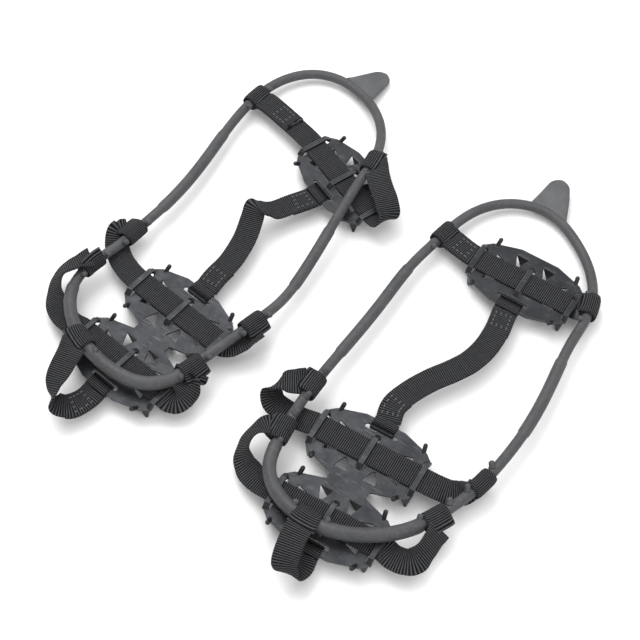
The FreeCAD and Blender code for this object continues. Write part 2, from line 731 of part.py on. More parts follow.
def build(lay):
    """All named pieces of one cleat, in its own frame."""
    ring = Ring(lay["ring"])
    ring_toe, ring_heel = ring_halves(lay, ring)
    link_toe, link_heel = link_strap(lay)
    paths = {name: cross_stations(lay, ring, name) for name in ("heel_strap", "rear_strap", "front_strap")}
    paths["link"] = link_stations(lay)
    paths["toe_strap"] = toe_stations(lay, ring)
    pieces = {
        "ring_toe": ring_toe,
        "ring_heel": ring_heel,
        "pull_tab": pull_tab(lay, ring),
        "heel_plate": heel_plate(lay),
        "forefoot_plate": forefoot_plate(lay),
        "heel_strap": cross_strap(lay, ring, "heel_strap"),
        "rear_strap": cross_strap(lay, ring, "rear_strap"),
        "front_strap": cross_strap(lay, ring, "front_strap"),
        "toe_strap": toe_strap(lay, ring),
        "link_strap_toe": link_toe,
        "link_strap_heel": link_heel,
    }
    for name, start, way in lay["stitched"]:
        label = "link_heel" if name == "link" and way < 0 else name.replace("_strap", "")
        pieces["stitching_" + label] = Part.makeCompound(stitching(paths[name], start, way))
    return pieces


for lay in (RIGHT, LEFT):
    x, y, turn = lay["place"]
    home = FreeCAD.Placement(Vector(x, y, 0), Rotation(turn, 0, 0))
    for name, shape in build(lay).items():
        placed = shape.copy()
        placed.Placement = home.multiply(placed.Placement)
        placed.exportStep("parts/%s_%s.step" % (lay["name"], name))
        box = placed.BoundBox
        print(lay["name"], name, "solids", len(placed.Solids), "valid", placed.isValid(),
              "volume", round(placed.Volume, 1),
              "box", [round(v, 1) for v in (box.XMin, box.YMin, box.ZMin, box.XMax, box.YMax, box.ZMax)])
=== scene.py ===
import json
from math import atan2, cos, degrees, pi, radians, sin

import bpy
import numpy as np
from mathutils import Matrix, Vector


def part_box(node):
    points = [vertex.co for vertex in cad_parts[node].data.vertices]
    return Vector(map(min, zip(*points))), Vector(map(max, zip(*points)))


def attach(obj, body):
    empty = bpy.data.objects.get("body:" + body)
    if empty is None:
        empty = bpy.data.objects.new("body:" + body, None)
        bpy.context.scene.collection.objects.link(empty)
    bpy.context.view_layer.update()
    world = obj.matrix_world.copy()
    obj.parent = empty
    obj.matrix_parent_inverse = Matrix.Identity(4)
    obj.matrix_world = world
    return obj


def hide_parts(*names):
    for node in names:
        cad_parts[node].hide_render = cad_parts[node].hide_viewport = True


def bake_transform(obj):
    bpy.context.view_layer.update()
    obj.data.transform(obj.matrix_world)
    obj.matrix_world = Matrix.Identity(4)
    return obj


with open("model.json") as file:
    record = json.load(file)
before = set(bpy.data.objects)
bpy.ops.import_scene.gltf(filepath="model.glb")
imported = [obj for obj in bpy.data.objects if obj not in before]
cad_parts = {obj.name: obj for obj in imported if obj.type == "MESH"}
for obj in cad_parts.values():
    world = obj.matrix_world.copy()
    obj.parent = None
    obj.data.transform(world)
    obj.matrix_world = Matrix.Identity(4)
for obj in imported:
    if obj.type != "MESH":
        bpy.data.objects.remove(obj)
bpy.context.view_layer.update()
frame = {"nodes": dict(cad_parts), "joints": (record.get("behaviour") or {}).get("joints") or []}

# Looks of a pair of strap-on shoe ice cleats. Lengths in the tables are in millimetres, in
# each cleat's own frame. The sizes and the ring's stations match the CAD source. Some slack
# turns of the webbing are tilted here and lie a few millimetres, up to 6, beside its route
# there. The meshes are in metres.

MM = 0.001

WEB_WIDTH = 15.0
WEB_THICK = 1.5
SHEET = 1.4
TOOTH_DROP = 9.6
GAP = 0.1                   # webbing clear of the plate
PLATE_TOP = TOOTH_DROP + SHEET
WEB_MID = PLATE_TOP + GAP + WEB_THICK / 2
RING_RADIUS = 3.1
SIDE_RADIUS = 3.6
TOE_RADIUS = 3.9
SLEEVE_CLEAR = 0.25         # webbing loop clear of the rubber
HALF_LENGTH = 34.2
HALF_DEPTH = 21.2
PLATE_RUN = (HALF_LENGTH - 1.5, HALF_LENGTH + 1.5)     # strap stations at the plate's ends
STRAP_PITCH = 23.3
SLOT_INNER = 15.6           # inside of the slot loop, nearer the plate's middle
EDGE_CLEAR = 1.0
KNOB_OFFSET = 10.4          # from a loop's middle, along the ring
KNOB_LEAN = 0.9             # a knob's rise for each unit that it leans level
TAB_BASE = 26.0
TAB_LENGTH = 24.0
TAB_THICK = 2.2
STITCH_ROWS = (-4.6, -1.6, 1.6, 4.6)
STITCH_PITCH = 3.0

# In a cleat, knob_aim is the point that its knobs lean towards, and toe_arch and sides are
# the thicker stretches of its ring. For a strap, left and right are the places of its loops on
# the ring, before and after are its stations either side of the plate, and an end named in
# plain keeps its last station instead of running into its loop. A webbing station is x, y, z,
# the heading of the width and, if it is tilted, its tilt. An entry of stitched is a sewn end:
# the strap, the first stitches as a share of its length, and the way they go on.

RIGHT = {
    "name": "right",
    "forefoot_turn": 2.4,
    "heel_at": (18.9, 171.6),
    "heel_turn": 0.0,
    "fold": 105.0,
    "knob_aim": (0.0, 105.0),
    "tab_heading": 99.0,
    "tab_tilt": 2.0,
    "tab_at": (6.0, 229.5),
    "ring": [
        (6.0, 229.5, 6.0), (31.0, 219.0, 6.0), (51.0, 199.5, 7.5),
        (61.0, 177.0, 9.5), (62.5, 150.0, 11.0), (65.8, 115.0, 12.0),
        (67.3, 88.0, 12.0), (65.8, 62.0, 12.2), (61.5, 37.0, 12.6),
        (51.5, 9.0, 14.6), (40.5, -10.0, 18.0), (27.0, -22.0, 19.6),
        (10.0, -30.2, 20.2), (-8.0, -32.6, 20.2), (-26.0, -29.0, 19.6),
        (-40.5, -17.5, 18.6), (-46.6, 4.0, 17.4), (-48.6, 24.0, 16.6),
        (-49.2, 46.0, 14.6), (-48.0, 76.0, 12.4), (-46.2, 112.0, 12.0),
        (-45.4, 145.0, 11.0), (-41.2, 174.0, 9.5), (-34.0, 203.0, 7.5),
        (-18.0, 223.0, 6.2),
    ],
    "toe_arch": ((47.0, 0.0), (-46.0, -2.0)),
    "sides": (((64.0, 134.0), (67.3, 80.0)), ((-48.4, 68.0), (-45.6, 142.0))),
    "heel_strap": {
        "left": (-40.6, 177.0), "right": (61.0, 178.0),
        "before": [(-29.0, 174.2, 11.3, 92.0)],
        "after": [],
    },
    "rear_strap": {
        "left": (-49.0, 41.0), "right": (62.0, 39.5),
        "before": [
            (-56.5, 36.0, 20.2, 84.0), (-63.5, 31.0, 20.4, 72.0),
            (-67.6, 26.0, 16.0, 74.0), (-64.0, 21.6, 11.4, 84.0),
            (-54.0, 20.2, 10.7, 92.0), (-44.0, 20.8, 10.8, 92.0),
        ],
        "after": [(43.0, 25.6, 11.2, 92.0), (50.5, 27.6, 9.8, 100.0), (56.0, 32.0, 8.6, 104.0)],
    },
    "front_strap": {
        "left": (-46.8, 6.0), "right": (50.6, 7.2),
        "before": [
            (-55.4, 4.0, 20.0, -58.0, 18.0), (-60.4, -3.4, 19.6, -30.0, 46.0),
            (-61.4, -12.0, 15.8, 2.0, 52.0), (-56.4, -19.6, 12.2, 36.0, 38.0),
            (-46.4, -23.8, 11.0, 72.0, 8.0),
        ],
        "after": [
            (42.5, -22.8, 11.1, 93.0), (50.0, -21.6, 11.3, 97.0, 4.0),
            (54.4, -18.6, 12.6, 116.0, 36.0), (56.6, -11.8, 14.0, 144.0, 56.0),
            (56.8, -3.6, 14.6, 152.0, 52.0), (56.8, 3.2, 14.8, 152.0, 40.0),
        ],
        "plain": ("right",),
    },
    "toe_strap": {
        "ring": (-6.0, -32.5),
        "run": [
            (3.6, -55.0, 10.8, 6.0), (1.4, -61.5, 14.0, 10.0), (-1.6, -61.0, 20.0, 12.0),
            (-4.0, -53.0, 24.6, 10.0), (-5.6, -42.0, 25.4, 4.0),
        ],
    },
    "link": [
        (-4.0, 56.0, 11.9, 2.0), (-1.0, 68.0, 12.0, -28.0), (5.5, 82.0, 12.0, -30.0),
        (13.0, 94.0, 12.0, -34.0), (18.6, 105.0, 12.0, -24.0), (21.6, 118.0, 12.0, -6.0),
        (21.6, 132.0, 12.4, 0.0), (19.6, 144.0, 11.6, 0.0),
    ],
    "stitched": (("link", 0.045, 1.0), ("link", 0.955, -1.0), ("heel_strap", 0.09, 1.0)),
}

LEFT = {
    "name": "left",
    "forefoot_turn": -3.5,
    "heel_at": (18.9, 162.6),
    "heel_turn": -18.5,
    "fold": 78.0,
    "knob_aim": (500.0, 78.0),
    "tab_heading": 78.0,
    "tab_tilt": -9.0,
    "tab_at": (-20.4, 230.4),
    "ring": [
        (-20.4, 230.4, 7.4), (0.0, 222.0, 10.0), (16.4, 207.0, 13.5),
        (26.4, 188.0, 17.0), (31.0, 166.0, 18.8), (35.4, 141.0, 18.6),
        (39.4, 116.0, 14.8), (43.4, 90.0, 12.2), (45.6, 66.0, 12.6),
        (43.8, 44.0, 15.8), (40.6, 24.0, 17.6), (36.4, 4.0, 17.8),
        (32.4, -14.0, 18.8), (22.0, -28.0, 19.8), (6.0, -33.4, 20.4),
        (-12.0, -33.0, 20.6), (-29.0, -28.6, 20.6), (-45.0, -19.5, 19.2),
        (-57.0, -6.0, 17.4), (-61.0, 14.0, 16.2), (-58.6, 32.0, 14.6),
        (-58.0, 52.0, 12.6), (-57.0, 78.0, 12.0), (-59.4, 112.0, 11.6),
        (-66.0, 148.0, 10.4), (-69.4, 180.0, 9.2), (-65.6, 207.0, 7.4),
        (-52.0, 225.6, 6.4), (-37.0, 231.4, 6.4),
    ],
    "toe_arch": ((33.5, -10.0), (-57.5, -4.0)),
    "sides": (((38.0, 124.0), (44.6, 80.0)), ((-57.4, 74.0), (-65.6, 146.0))),
    "heel_strap": {
        "left": (-69.4, 184.0), "right": (28.6, 180.0),
        "before": [(-58.0, 182.6, 11.2, 86.0), (-40.0, 179.4, 11.6, 80.0), (-24.0, 176.2, 11.8, 74.0)],
        "after": [
            (58.6, 150.4, 13.6, 70.0), (61.0, 153.6, 18.2, 64.0), (55.4, 158.8, 22.6, 58.0),
            (46.0, 165.6, 24.0, 62.0), (38.0, 173.0, 23.4, 76.0),
        ],
    },
    "rear_strap": {
        "left": (-57.8, 49.0), "right": (43.6, 41.0),
        "before": [
            (-65.6, 45.0, 13.0, 70.0), (-62.0, 38.0, 10.4, 54.0),
            (-53.4, 31.6, 9.9, 58.0), (-43.0, 27.4, 11.0, 72.0),
        ],
        "after": [
            (41.2, 23.8, 11.4, 104.0, -4.0), (45.6, 29.0, 11.6, 128.0, -22.0),
            (48.2, 35.0, 12.8, 146.0, -34.0), (50.2, 41.2, 14.6, 154.0, -34.0),
        ],
        "plain": ("right",),
    },
    "front_strap": {
        "left": (-60.8, 15.0), "right": (34.4, -4.0),
        "plain": ("left",),
        "before": [
            (-61.6, 16.4, 21.2, -8.0, 4.0), (-66.4, 7.6, 21.0, -16.0, 30.0),
            (-70.2, -1.6, 18.6, -6.0, 44.0), (-67.6, -10.8, 14.2, 14.0, 42.0),
            (-58.6, -18.6, 11.6, 46.0, 24.0), (-46.0, -21.6, 11.0, 74.0),
        ],
        "after": [
            (36.8, -25.4, 11.1, 88.0, 2.0), (40.6, -23.0, 12.0, 100.0, 34.0),
            (42.0, -17.8, 14.2, 116.0, 62.0), (41.4, -9.6, 17.0, 104.0, 34.0),
        ],
    },
    "toe_strap": {
        "ring": (-27.0, -29.4),
        "run": [
            (-3.0, -54.0, 10.8, -6.0), (-6.6, -64.0, 12.0, -18.0, -12.0),
            (-13.0, -68.4, 17.0, -28.0, -20.0), (-17.6, -62.6, 22.4, -32.0, -8.0),
            (-21.0, -51.0, 25.4, -26.0), (-24.4, -39.6, 25.6, -22.0),
        ],
    },
    "link": [
        (2.4, 56.0, 11.6, 0.0), (2.8, 68.0, 12.0, 1.0), (1.4, 78.0, 12.0, 5.0),
        (-1.4, 90.0, 13.0, 10.0), (-5.2, 101.0, 16.6, 10.0), (-6.6, 107.0, 20.8, 2.0),
        (-3.4, 110.6, 18.0, -16.0), (0.2, 115.6, 13.4, -24.0), (5.2, 126.6, 12.0, -21.0),
        (9.4, 134.6, 11.6, -18.5),
    ],
    "stitched": (
        ("link", 0.045, 1.0), ("link", 0.965, -1.0),
        ("heel_strap", 0.10, 1.0), ("toe_strap", 0.10, 1.0),
    ),
}


# ---- small geometry helpers ---------------------------------------------

TINY = 1e-9                 # keeps a vector without length from dividing by zero


def unit(v):
    """The vector with a length of 1."""
    return v / max(np.linalg.norm(v), TINY)


def smooth(t):
    """0 up to t = 0, 1 from t = 1 on, and an S-curve between."""
    t = min(max(t, 0.0), 1.0)
    return t * t * (3 - 2 * t)


def turned(x, y, angle):
    """A plan vector turned by degrees."""
    a = radians(angle)
    return x * cos(a) - y * sin(a), x * sin(a) + y * cos(a)


def home_of(lay):
    """Placement of a cleat's own frame, from its forefoot plate and its fold hinge."""
    low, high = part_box(lay["name"] + "_forefoot_plate")
    axis = next(j["axis"] for j in frame["joints"] if j["name"] == lay["name"] + "_fold")
    middle = (Vector(low) + Vector(high)) / 2
    turn = atan2(axis[1], axis[0])
    return Matrix.Translation((middle.x, middle.y, 0)) @ Matrix.Rotation(turn, 4, "Z")


def mesh_object(lay, name, shell):
    """Smooth mesh from a shell's millimetre points, placed by the cleat's home matrix."""
    mesh = bpy.data.meshes.new(lay["name"] + "_" + name)
    mesh.from_pydata([Vector(v) * MM for v in shell.verts], [], shell.faces)
    layer = mesh.uv_layers.new(name="weave")
    for loop in mesh.loops:
        layer.data[loop.index].uv = shell.uvs[loop.vertex_index]
    mesh.polygons.foreach_set("use_smooth", [True] * len(mesh.polygons))
    mesh.transform(home_of(lay))
    mesh.update()
    obj = bpy.data.objects.new(mesh.name, mesh)
    bpy.context.scene.collection.objects.link(obj)
    return obj


class Shell:
    """Collects points, faces and texture coordinates of one piece."""

    def __init__(self):
        self.verts = []
        self.faces = []
        self.uvs = []

    def add(self, verts, faces, uvs):
        base = len(self.verts)
        self.verts += [tuple(v) for v in verts]
        self.faces += [tuple(base + i for i in f) for f in faces]
        self.uvs += list(uvs)

    def grid(self, rows, uvs, closed=False):
        """Skin over a list of equal sections, capped unless the last one meets the first."""
        count = len(rows[0])
        faces = []
        last = len(rows) if closed else len(rows) - 1
        for i in range(last):
            j = (i + 1) % len(rows)
            for k in range(count):
                n = (k + 1) % count
                faces.append((i * count + k, i * count + n, j * count + n, j * count + k))
        if not closed:
            faces.append(tuple(range(count))[::-1])
            faces.append(tuple((len(rows) - 1) * count + k for k in range(count)))
        self.add([v for row in rows for v in row], faces, [uv for row in uvs for uv in row])


# ---- curves -------------------------------------------------------------

RING_FINE = 16              # points from one station to the next
PATH_FINE = 10
RING_LOOK = 0.6             # looked ahead and back for a direction
PATH_LOOK = 0.5
CLOSEST = 1e-6              # least gap between two points of a path


class Ring:
    """Closed smooth centre line through the stations, measured along its length."""

    def __init__(self, stations):
        points = np.array(stations, float)
        count = len(points)
        step = np.linalg.norm(np.roll(points, -1, axis=0) - points, axis=1)
        matrix = np.zeros((count, count))
        right = np.zeros((count, 3))
        for i in range(count):
            before, after = step[i - 1], step[i]
            matrix[i, i - 1] += before / 6
            matrix[i, i] += (before + after) / 3
            matrix[i, (i + 1) % count] += after / 6
            right[i] = (points[(i + 1) % count] - points[i]) / after
            right[i] -= (points[i] - points[i - 1]) / before
        bend = np.linalg.solve(matrix, right)
        line = []
        for i in range(count):
            j, h = (i + 1) % count, step[i]
            for k in range(RING_FINE):
                t = h * k / RING_FINE
                s = h - t
                line.append(
                    bend[i] * s ** 3 / (6 * h) + bend[j] * t ** 3 / (6 * h)
                    + (points[i] / h - bend[i] * h / 6) * s + (points[j] / h - bend[j] * h / 6) * t
                )
        self.line = np.array(line + [line[0]])
        reach = np.linalg.norm(np.diff(self.line, axis=0), axis=1)
        self.reach = np.concatenate([[0], np.cumsum(reach)])
        self.length = self.reach[-1]

    def point(self, distance):
        d = distance % self.length
        return np.array([np.interp(d, self.reach, self.line[:, k]) for k in range(3)])

    def along(self, distance):
        return unit(self.point(distance + RING_LOOK) - self.point(distance - RING_LOOK))

    def nearest(self, where):
        gap = np.hypot(self.line[:, 0] - where[0], self.line[:, 1] - where[1])
        return self.reach[int(np.argmin(gap))]

    def axes(self, distance):
        """Direction along the ring, level direction away from the shoe, and up."""
        along = self.along(distance)
        out = unit(np.cross((0, 0, 1), along))
        return along, out, np.cross(along, out)


def between(four, f):
    """Centripetal Catmull-Rom point between the middle two of four points."""
    times = [0.0]
    for a, b in zip(four, four[1:]):
        times.append(times[-1] + max(np.linalg.norm(b - a), CLOSEST) ** 0.5)
    t = times[1] + f * (times[2] - times[1])
    level = list(four)
    for width in (1, 2, 3):
        blended = []
        for j in range(4 - width):
            low = times[j] if width < 3 else times[1]
            high = times[j + width] if width < 3 else times[2]
            blended.append((level[j] * (high - t) + level[j + 1] * (t - low)) / (high - low))
        level = blended
    return level[0]


class Path:
    """Smooth path of webbing through its stations."""

    def __init__(self, stations):
        rows = [np.array(s[:3], float) for s in stations]
        padded = [rows[0] * 2 - rows[1]] + rows + [rows[-1] * 2 - rows[-2]]
        banks_at = [s[4] if len(s) > 4 else 0.0 for s in stations]
        points, angles, banks = [], [], []
        for i in range(len(rows) - 1):
            for k in range(PATH_FINE):
                f = k / PATH_FINE
                ease = smooth(f)
                points.append(between(padded[i:i + 4], f))
                angles.append(stations[i][3] + ease * (stations[i + 1][3] - stations[i][3]))
                banks.append(banks_at[i] + ease * (banks_at[i + 1] - banks_at[i]))
        points.append(rows[-1])
        angles.append(stations[-1][3])
        banks.append(banks_at[-1])
        self.points = np.array(points)
        reach = np.linalg.norm(np.diff(self.points, axis=0), axis=1)
        self.reach = np.concatenate([[0], np.cumsum(reach)])
        self.length = self.reach[-1]
        self.wides = []
        for i, angle in enumerate(angles):
            along = self.along(i)
            wide = np.array([cos(radians(angle)), sin(radians(angle)), 0.0])
            wide = unit(wide - along * wide.dot(along))
            if self.wides and wide.dot(self.wides[-1]) < 0:
                wide = -wide
            self.wides.append(wide)
        for i, bank in enumerate(banks):
            lift = np.cross(self.along(i), self.wides[i])
            self.wides[i] = self.wides[i] * cos(radians(bank)) + lift * sin(radians(bank))
        self.wides = np.array(self.wides)

    def along(self, i):
        return unit(self.points[min(i + 1, len(self.points) - 1)] - self.points[max(i - 1, 0)])

    def read(self, rows, distance):
        return np.array([np.interp(distance, self.reach, rows[:, k]) for k in range(3)])

    def at(self, distance):
        """Point, direction along, width direction and upward normal at a distance."""
        point = self.read(self.points, distance)
        along = unit(self.read(self.points, distance + PATH_LOOK)
                     - self.read(self.points, distance - PATH_LOOK))
        wide = unit(self.read(self.wides, distance))
        up = np.cross(along, wide)
        if up[2] < 0:
            up = -up
        return point, along, wide, up


# ---- stations shared by the straps --------------------------------------

def units(lay):
    """Centre, turn and slot side of each toothed unit."""
    turn = lay["forefoot_turn"]
    return {
        "heel": (lay["heel_at"], lay["heel_turn"], -1),
        "rear": (turned(0, STRAP_PITCH, turn), turn, 1),
        "front": (turned(0, -STRAP_PITCH, turn), turn, -1),
    }


def bore_at(ring, distance):
    """Inner radius of a webbing loop."""
    rubber = TOE_RADIUS if ring.point(distance)[1] < 0 else SIDE_RADIUS
    return rubber + SLEEVE_CLEAR


def sleeve_end(ring, where, neighbour):
    """Last station, inside the wall of the loop, and the way the strap leaves the loop."""
    at = ring.nearest(where)
    centre, along = ring.point(at), ring.along(at)
    toward = np.array(neighbour[:3]) - centre
    toward = unit(toward - along * toward.dot(along))
    point = centre + toward * (bore_at(ring, at) + WEB_THICK / 2)
    angle = degrees(atan2(along[1], along[0]))
    while angle < neighbour[3] - 90:
        angle += 180
    while angle > neighbour[3] + 90:
        angle -= 180
    return (point[0], point[1], point[2], angle)


def under_bars(lay, name):
    """Stations of a strap that lies flat on its plate, under the bars."""
    centre, turn, _ = units(lay)[name]
    run = []
    for x in (-PLATE_RUN[1], -PLATE_RUN[0], PLATE_RUN[0], PLATE_RUN[1]):
        dx, dy = turned(x, 0, turn)
        run.append((centre[0] + dx, centre[1] + dy, WEB_MID, 90.0 + turn))
    return run


def cross_stations(lay, ring, name):
    """Stations of a strap across the shoe, from its left end to its right."""
    strap = lay[name]
    run = strap["before"] + under_bars(lay, name.replace("_strap", "")) + strap["after"]
    plain = strap.get("plain", ())
    if "left" not in plain:
        run = [sleeve_end(ring, strap["left"], run[0])] + run
    if "right" not in plain:
        run = run + [sleeve_end(ring, strap["right"], run[-1])]
    return run


def slot_end(lay, name):
    """Station at the outer side of a slot's loop, where a strap starts."""
    centre, turn, way = units(lay)[name]
    dx, dy = turned(0, way * (HALF_DEPTH + EDGE_CLEAR + WEB_THICK / 2), turn)
    return (centre[0] + dx, centre[1] + dy, TOOTH_DROP + SHEET / 2, turn)


def link_stations(lay):
    """Stations of the lengthwise strap, from the forefoot plate to the heel plate."""
    return [slot_end(lay, "rear")] + lay["link"] + [slot_end(lay, "heel")]


def toe_stations(lay, ring):
    """Stations of the toe strap, from its slot's loop to its loop on the ring."""
    run = lay["toe_strap"]["run"]
    return [slot_end(lay, "front")] + run + [sleeve_end(ring, lay["toe_strap"]["ring"], run[-1])]


# ---- materials ----------------------------------------------------------

# Linear base colours; a pair is the dark and the light end of a mottled tone.
RUBBER_TONES = ((0.048, 0.049, 0.052), (0.074, 0.075, 0.078))
RUBBER_SCUFF = (0.15, 0.15, 0.155, 1.0)
TAB_PAINTED_LIGHT = 1.55            # painted light: the thin tab's rubber is made paler
STEEL_TONES = ((0.024, 0.025, 0.028), (0.044, 0.045, 0.049))
STEEL_WEAR_AND_HIGHLIGHT = (0.30, 0.305, 0.315, 1.0)
WEB_SHADE_AND_HIGHLIGHT_TONES = ((0.003, 0.003, 0.004), (0.015, 0.016, 0.018), (0.078, 0.079, 0.083))
THREAD_TONES = ((0.070, 0.072, 0.078), (0.160, 0.164, 0.172))
FLOOR_TONES = ((0.93, 0.93, 0.93), (0.95, 0.95, 0.95))
EDGE_WEAR_AND_HIGHLIGHT = 0.0006          # metres of a steel edge painted lighter, as wear and painted highlight
RIB_PITCH = 1.25 * MM       # webbing ribs across the strap
YARN_PITCH = 0.62 * MM


class Nodes:
    """Short way to wire a material."""

    def __init__(self, name):
        self.material = bpy.data.materials.new(name)
        self.material.use_nodes = True
        self.tree = self.material.node_tree
        self.surface = self.tree.nodes["Principled BSDF"]

    def new(self, kind, **settings):
        node = self.tree.nodes.new(kind)
        for key, value in settings.items():
            setattr(node, key, value)
        return node

    def link(self, a, b):
        self.tree.links.new(a, b)

    def math(self, operation, *values):
        node = self.new("ShaderNodeMath", operation=operation)
        for slot, value in zip(node.inputs, values):
            if isinstance(value, (int, float)):
                slot.default_value = value
            else:
                self.link(value, slot)
        return node.outputs[0]

    def noise(self, scale, detail=3.0, rough=0.55):
        """Noise fixed to the object; the scale says about how many spots there are to the metre."""
        node = self.new("ShaderNodeTexNoise")
        self.link(self.new("ShaderNodeTexCoord").outputs["Object"], node.inputs["Vector"])
        node.inputs["Scale"].default_value = scale
        node.inputs["Detail"].default_value = detail
        node.inputs["Roughness"].default_value = rough
        return node.outputs["Fac"]

    def ramp(self, source, stops):
        """Colour from a value, by pairs of a position and a colour."""
        stops = list(stops)
        node = self.new("ShaderNodeValToRGB")
        self.link(source, node.inputs[0])
        ramp = node.color_ramp
        while len(ramp.elements) < len(stops):
            ramp.elements.new(0.5)
        for element, (where, colour) in zip(ramp.elements, stops):
            element.position = where
            element.color = (*colour, 1.0)
        return node.outputs[0]

    def mottle(self, source, tones):
        """Two tones that meet in the middle of a noise's range."""
        return self.ramp(source, zip((0.3, 0.7), tones))

    def bump(self, height, distance, strength=1.0, normal=None):
        """Relief from a height, which stands out by the distance, in metres, where it is 1."""
        node = self.new("ShaderNodeBump")
        node.inputs["Strength"].default_value = strength
        node.inputs["Distance"].default_value = distance
        self.link(height, node.inputs["Height"])
        if normal is not None:
            self.link(normal, node.inputs["Normal"])
        return node.outputs[0]


def rubber(name, painted_light_gain=1.0):
    """Matt moulded rubber: fine grain, faint bloom and a few scuffs. A gain above 1 makes the tone
    paler, as painted light.
    """
    n = Nodes(name)
    dark, light = [tuple(painted_light_gain * c for c in tone) for tone in RUBBER_TONES]
    tone = n.mottle(n.noise(60.0, 4.0), (dark, light))
    scuff = n.math("POWER", n.noise(420.0, 5.0, 0.7), 3.0)
    mix = n.new("ShaderNodeMix", data_type="RGBA")
    n.link(scuff, mix.inputs["Factor"])
    n.link(tone, mix.inputs["A"])
    mix.inputs["B"].default_value = RUBBER_SCUFF
    n.link(mix.outputs["Result"], n.surface.inputs["Base Color"])
    n.link(n.math("MULTIPLY_ADD", n.noise(240.0), 0.22, 0.42), n.surface.inputs["Roughness"])
    n.surface.inputs["Specular IOR Level"].default_value = 0.24
    grain = n.bump(n.noise(1800.0, 2.0), 0.00006, 0.6)
    n.link(n.bump(n.noise(160.0, 2.0), 0.00025, 0.5, grain), n.surface.inputs["Normal"])
    return n.material


def coated_steel():
    """Dark coated sheet: fine orange peel, edges painted lighter as wear and painted highlight, faint
    scratches.
    """
    n = Nodes("coated_steel")
    bevel = n.new("ShaderNodeBevel", samples=6)
    bevel.inputs["Radius"].default_value = EDGE_WEAR_AND_HIGHLIGHT
    normal = n.new("ShaderNodeNewGeometry").outputs["Normal"]
    turn = n.new("ShaderNodeVectorMath", operation="DOT_PRODUCT")
    n.link(bevel.outputs[0], turn.inputs[0])
    n.link(normal, turn.inputs[1])
    # Edges are painted lighter: partly wear, partly painted highlight.
    edge = n.math("SUBTRACT", 1.0, turn.outputs["Value"])
    patchy = n.math("MULTIPLY", n.noise(700.0, 5.0, 0.7), 1.6)
    worn_and_highlit = n.math("MULTIPLY", n.math("POWER", edge, 0.6), patchy)
    scratch = n.new("ShaderNodeTexNoise", noise_dimensions="3D")
    stretch = n.new("ShaderNodeMapping")
    stretch.inputs["Rotation"].default_value = (0.0, 0.0, 0.6)
    stretch.inputs["Scale"].default_value = (90.0, 2400.0, 400.0)
    n.link(n.new("ShaderNodeTexCoord").outputs["Object"], stretch.inputs["Vector"])
    n.link(stretch.outputs[0], scratch.inputs["Vector"])
    scratch.inputs["Scale"].default_value = 1.0
    line = n.ramp(scratch.outputs["Fac"], [(0.66, (0.0, 0.0, 0.0)), (0.74, (0.35, 0.35, 0.35))])
    tone = n.mottle(n.noise(90.0, 4.0), STEEL_TONES)
    mix = n.new("ShaderNodeMix", data_type="RGBA")
    n.link(n.math("MAXIMUM", worn_and_highlit, line), mix.inputs["Factor"])
    n.link(tone, mix.inputs["A"])
    mix.inputs["B"].default_value = STEEL_WEAR_AND_HIGHLIGHT
    n.link(mix.outputs["Result"], n.surface.inputs["Base Color"])
    n.surface.inputs["Metallic"].default_value = 0.6
    n.surface.inputs["Specular IOR Level"].default_value = 0.2
    rough = n.mottle(n.noise(300.0, 3.0), ((0.36, 0.36, 0.36), (0.50, 0.50, 0.50)))
    n.link(rough, n.surface.inputs["Roughness"])
    peel = n.bump(n.noise(900.0, 2.0), 0.00008, 0.5, bevel.outputs[0])
    n.link(peel, n.surface.inputs["Normal"])
    return n.material


def webbing():
    """Flat woven webbing: ribs across the width, yarns along it, fuzz and soft sheen; painted shade in
    the grooves and painted highlight on the crests.
    """
    n = Nodes("webbing")
    uv = n.new("ShaderNodeUVMap", uv_map="weave").outputs[0]
    split = n.new("ShaderNodeSeparateXYZ")
    n.link(uv, split.inputs[0])
    along, across = split.outputs[0], split.outputs[1]
    rib = n.math("SINE", n.math("MULTIPLY", along, 2 * pi / RIB_PITCH))
    rib = n.math("MULTIPLY", n.math("ADD", rib, 1.0), 0.5)
    yarn = n.math("SINE", n.math("MULTIPLY", across, 2 * pi / YARN_PITCH))
    yarn = n.math("MULTIPLY", n.math("ADD", yarn, 1.0), 0.5)
    relief = n.math("ADD", n.math("MULTIPLY", rib, 0.75), n.math("MULTIPLY", yarn, 0.25))
    uneven = n.math("MULTIPLY", n.noise(500.0, 3.0), 0.35)
    height = n.math("ADD", relief, uneven)
    # Colour follows the relief: painted shade in the grooves, painted highlight on the crests.
    tone = n.ramp(height, zip((0.25, 0.62, 1.0), WEB_SHADE_AND_HIGHLIGHT_TONES))
    n.link(tone, n.surface.inputs["Base Color"])
    n.surface.inputs["Roughness"].default_value = 0.78
    n.surface.inputs["Specular IOR Level"].default_value = 0.06
    n.surface.inputs["Sheen Weight"].default_value = 0.02
    n.surface.inputs["Sheen Roughness"].default_value = 0.5
    n.link(n.bump(height, 0.00045, 0.9), n.surface.inputs["Normal"])
    return n.material


def sewing_thread():
    """Twisted thread, a little lighter than the webbing."""
    n = Nodes("sewing_thread")
    tone = n.ramp(n.noise(2600.0, 3.0), zip((0.35, 0.7), THREAD_TONES))
    n.link(tone, n.surface.inputs["Base Color"])
    n.surface.inputs["Roughness"].default_value = 0.6
    n.link(n.bump(n.noise(3200.0, 2.0), 0.0001, 0.6), n.surface.inputs["Normal"])
    return n.material


RUBBER = rubber("rubber")
# The tab gets a paler copy of the rubber: painted light on its thin blade.
TAB_RUBBER = rubber("rubber_painted_paler", TAB_PAINTED_LIGHT)
STEEL = coated_steel()
WEBBING = webbing()
THREAD = sewing_thread()


# ---- the rubber ring ----------------------------------------------------

